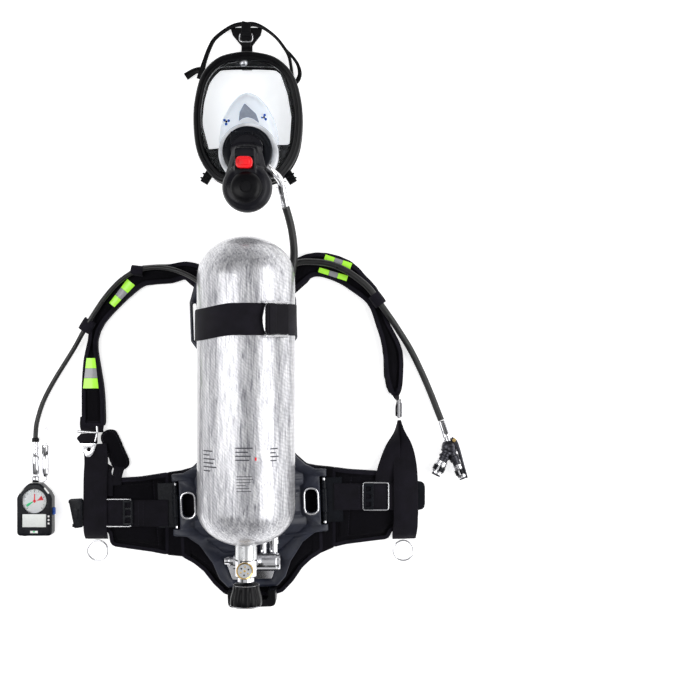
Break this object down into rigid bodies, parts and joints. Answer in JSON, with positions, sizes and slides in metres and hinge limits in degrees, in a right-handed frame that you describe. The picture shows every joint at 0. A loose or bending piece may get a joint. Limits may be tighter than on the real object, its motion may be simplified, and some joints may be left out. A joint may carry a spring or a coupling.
{
  "type": "self-contained breathing apparatus",
  "caption": "Firefighting breathing set: composite cylinder on a moulded back plate, padded harness, full-face mask with demand valve, gauge console and second-user coupling.",
  "frame": {"origin": "on the resting plane, under the middle of the cylinder, on the flat back of the back pad", "axes": "+Y up the wearer's back towards the mask, +X to the right seen from the cylinder side, +Z away from the wearer"},
  "size_m": [0.7639, 0.99, 0.1999],
  "materials": {
    "composite_wrap": "clear-coated grey filament winding",
    "aluminium": "satin",
    "chrome": "bright plated",
    "steel": "brushed",
    "brass": "satin",
    "rubber": "matt moulded",
    "hose_rubber": "smooth",
    "moulded_plastic": "fine grain",
    "black_plastic": "satin moulded",
    "padded_fabric": "coarse woven",
    "webbing": "ribbed webbing",
    "clear_visor": "clear polycarbonate",
    "cup_rubber": "translucent silicone",
    "blue_plastic": "moulded",
    "red_plastic": "moulded",
    "white_dial": "printed face"
  },
  "bodies": {
    "root": {"alarm_whistle": "chrome", "back_pad": "padded_fabric", "back_plate": "moulded_plastic", "band_buckle": "steel", "base_bumper": "rubber", "buddy_hose": "hose_rubber", "carry_ring_left": "chrome", "carry_ring_right": "chrome", "console_case": "black_plastic", "console_fitting": "chrome", "coupling_body": "steel", "cylinder_band": "webbing", "cylinder_liner": "aluminium", "cylinder_wrap": "composite_wrap", "face_seal": "rubber", "gauge_dial": "white_dial", "gauge_hose": "hose_rubber", "gauge_lens": "clear_visor", "head_harness": "rubber", "hinge_pin_left": "chrome", "hinge_pin_right": "chrome", "inner_cup": "cup_rubber", "mask_hose": "hose_rubber", "port_housing": "black_plastic", "pressure_reducer": "chrome", "reducer_bracket": "steel", "shoulder_pad_left": "padded_fabric", "shoulder_pad_right": "padded_fabric", "valve_body": "chrome", "valve_gauge": "brass", "visor": "clear_visor", "visor_frame": "rubber"},
    "handwheel": {"valve_handwheel": "rubber"},
    "outlet_nut": {"coupling_nut": "chrome"},
    "buckle_lever": {"band_lever": "black_plastic"},
    "hip_wing_left": {"hip_pad_left": "padded_fabric", "hinge_leaf_left": "black_plastic", "waist_webbing_left": "webbing", "belt_socket": "black_plastic", "coupling_holster": "padded_fabric", "pull_strap_left": "webbing", "strap_adjuster_left": "steel"},
    "hip_wing_right": {"hip_pad_right": "padded_fabric", "hinge_leaf_right": "black_plastic", "waist_webbing_right": "webbing", "belt_tongue": "black_plastic", "pull_strap_right": "webbing", "strap_adjuster_right": "steel"},
    "cam_left": {"adjuster_lever_left": "steel"},
    "cam_right": {"adjuster_lever_right": "steel"},
    "ring_left": {"pull_ring_left": "chrome"},
    "ring_right": {"pull_ring_right": "chrome"},
    "demand_valve": {"demand_valve_body": "black_plastic", "demand_valve_cover": "rubber", "hose_swivel": "chrome"},
    "bypass": {"bypass_button": "red_plastic"},
    "needle": {"gauge_needle": "red_plastic"},
    "side_button": {"console_button": "blue_plastic"},
    "collar_left": {"coupling_collar_left": "steel"},
    "collar_right": {"coupling_collar_right": "steel"}
  },
  "joints": [
    {"name": "handwheel_turn", "type": "hinge", "parent": "root", "child": "handwheel", "pos_m": [0, -0.266, 0.117], "axis": [0, -1, 0], "range_deg": [0, 720]},
    {"name": "outlet_nut_turn", "type": "hinge", "parent": "root", "child": "outlet_nut", "pos_m": [0, -0.224, 0.083], "axis": [0, 0, 1], "range_deg": [0, 720]},
    {"name": "buckle_lever_lift", "type": "hinge", "parent": "root", "child": "buckle_lever", "pos_m": [0.04081, 0.176, 0.19685], "axis": [0, -1, 0], "range_deg": [0, 110]},
    {"name": "hip_wing_left_fold", "type": "hinge", "parent": "root", "child": "hip_wing_left", "pos_m": [-0.12763, -0.13543, 0.022], "axis": [-0.0349, 0.9994, 0], "range_deg": [0, 30]},
    {"name": "hip_wing_right_fold", "type": "hinge", "parent": "root", "child": "hip_wing_right", "pos_m": [0.12421, -0.12663, 0.022], "axis": [0.0349, -0.9994, 0], "range_deg": [0, 30]},
    {"name": "cam_left_lift", "type": "hinge", "parent": "hip_wing_left", "child": "cam_left", "pos_m": [-0.276, -0.031, 0.0164], "axis": [-1, 0, 0], "range_deg": [0, 60]},
    {"name": "cam_right_lift", "type": "hinge", "parent": "hip_wing_right", "child": "cam_right", "pos_m": [0.255, 0.038, 0.017], "axis": [0, 0, 1], "range_deg": [0, 60]},
    {"name": "ring_left_swing", "type": "hinge", "parent": "hip_wing_left", "child": "ring_left", "pos_m": [-0.264, -0.198, 0.0026], "axis": [-1, 0, 0], "range_deg": [0, 90]},
    {"name": "ring_right_swing", "type": "hinge", "parent": "hip_wing_right", "child": "ring_right", "pos_m": [0.259, -0.198, 0.0026], "axis": [-1, 0, 0], "range_deg": [0, 90]},
    {"name": "demand_valve_unplug", "type": "slide", "parent": "root", "child": "demand_valve", "axis": [0, 0, 1], "range_m": [0, 0.03]},
    {"name": "bypass_press", "type": "slide", "parent": "demand_valve", "child": "bypass", "axis": [0, 0, -1], "range_m": [0, 0.002], "stiffness_N_per_m": 1000},
    {"name": "needle_swing", "type": "hinge", "parent": "root", "child": "needle", "pos_m": [-0.367, -0.128, 0.0226], "axis": [0, 0, -1], "range_deg": [-130, 130]},
    {"name": "side_button_press", "type": "slide", "parent": "root", "child": "side_button", "axis": [-1, 0, 0], "range_m": [0, 0.0015], "stiffness_N_per_m": 600},
    {"name": "collar_left_pull", "type": "slide", "parent": "root", "child": "collar_left", "axis": [0.4399, 0.8981, 0], "range_m": [0, 0.004], "stiffness_N_per_m": 1500},
    {"name": "collar_right_pull", "type": "slide", "parent": "root", "child": "collar_right", "axis": [-0.4, 0.9165, 0], "range_m": [0, 0.004], "stiffness_N_per_m": 1500}
  ]
}
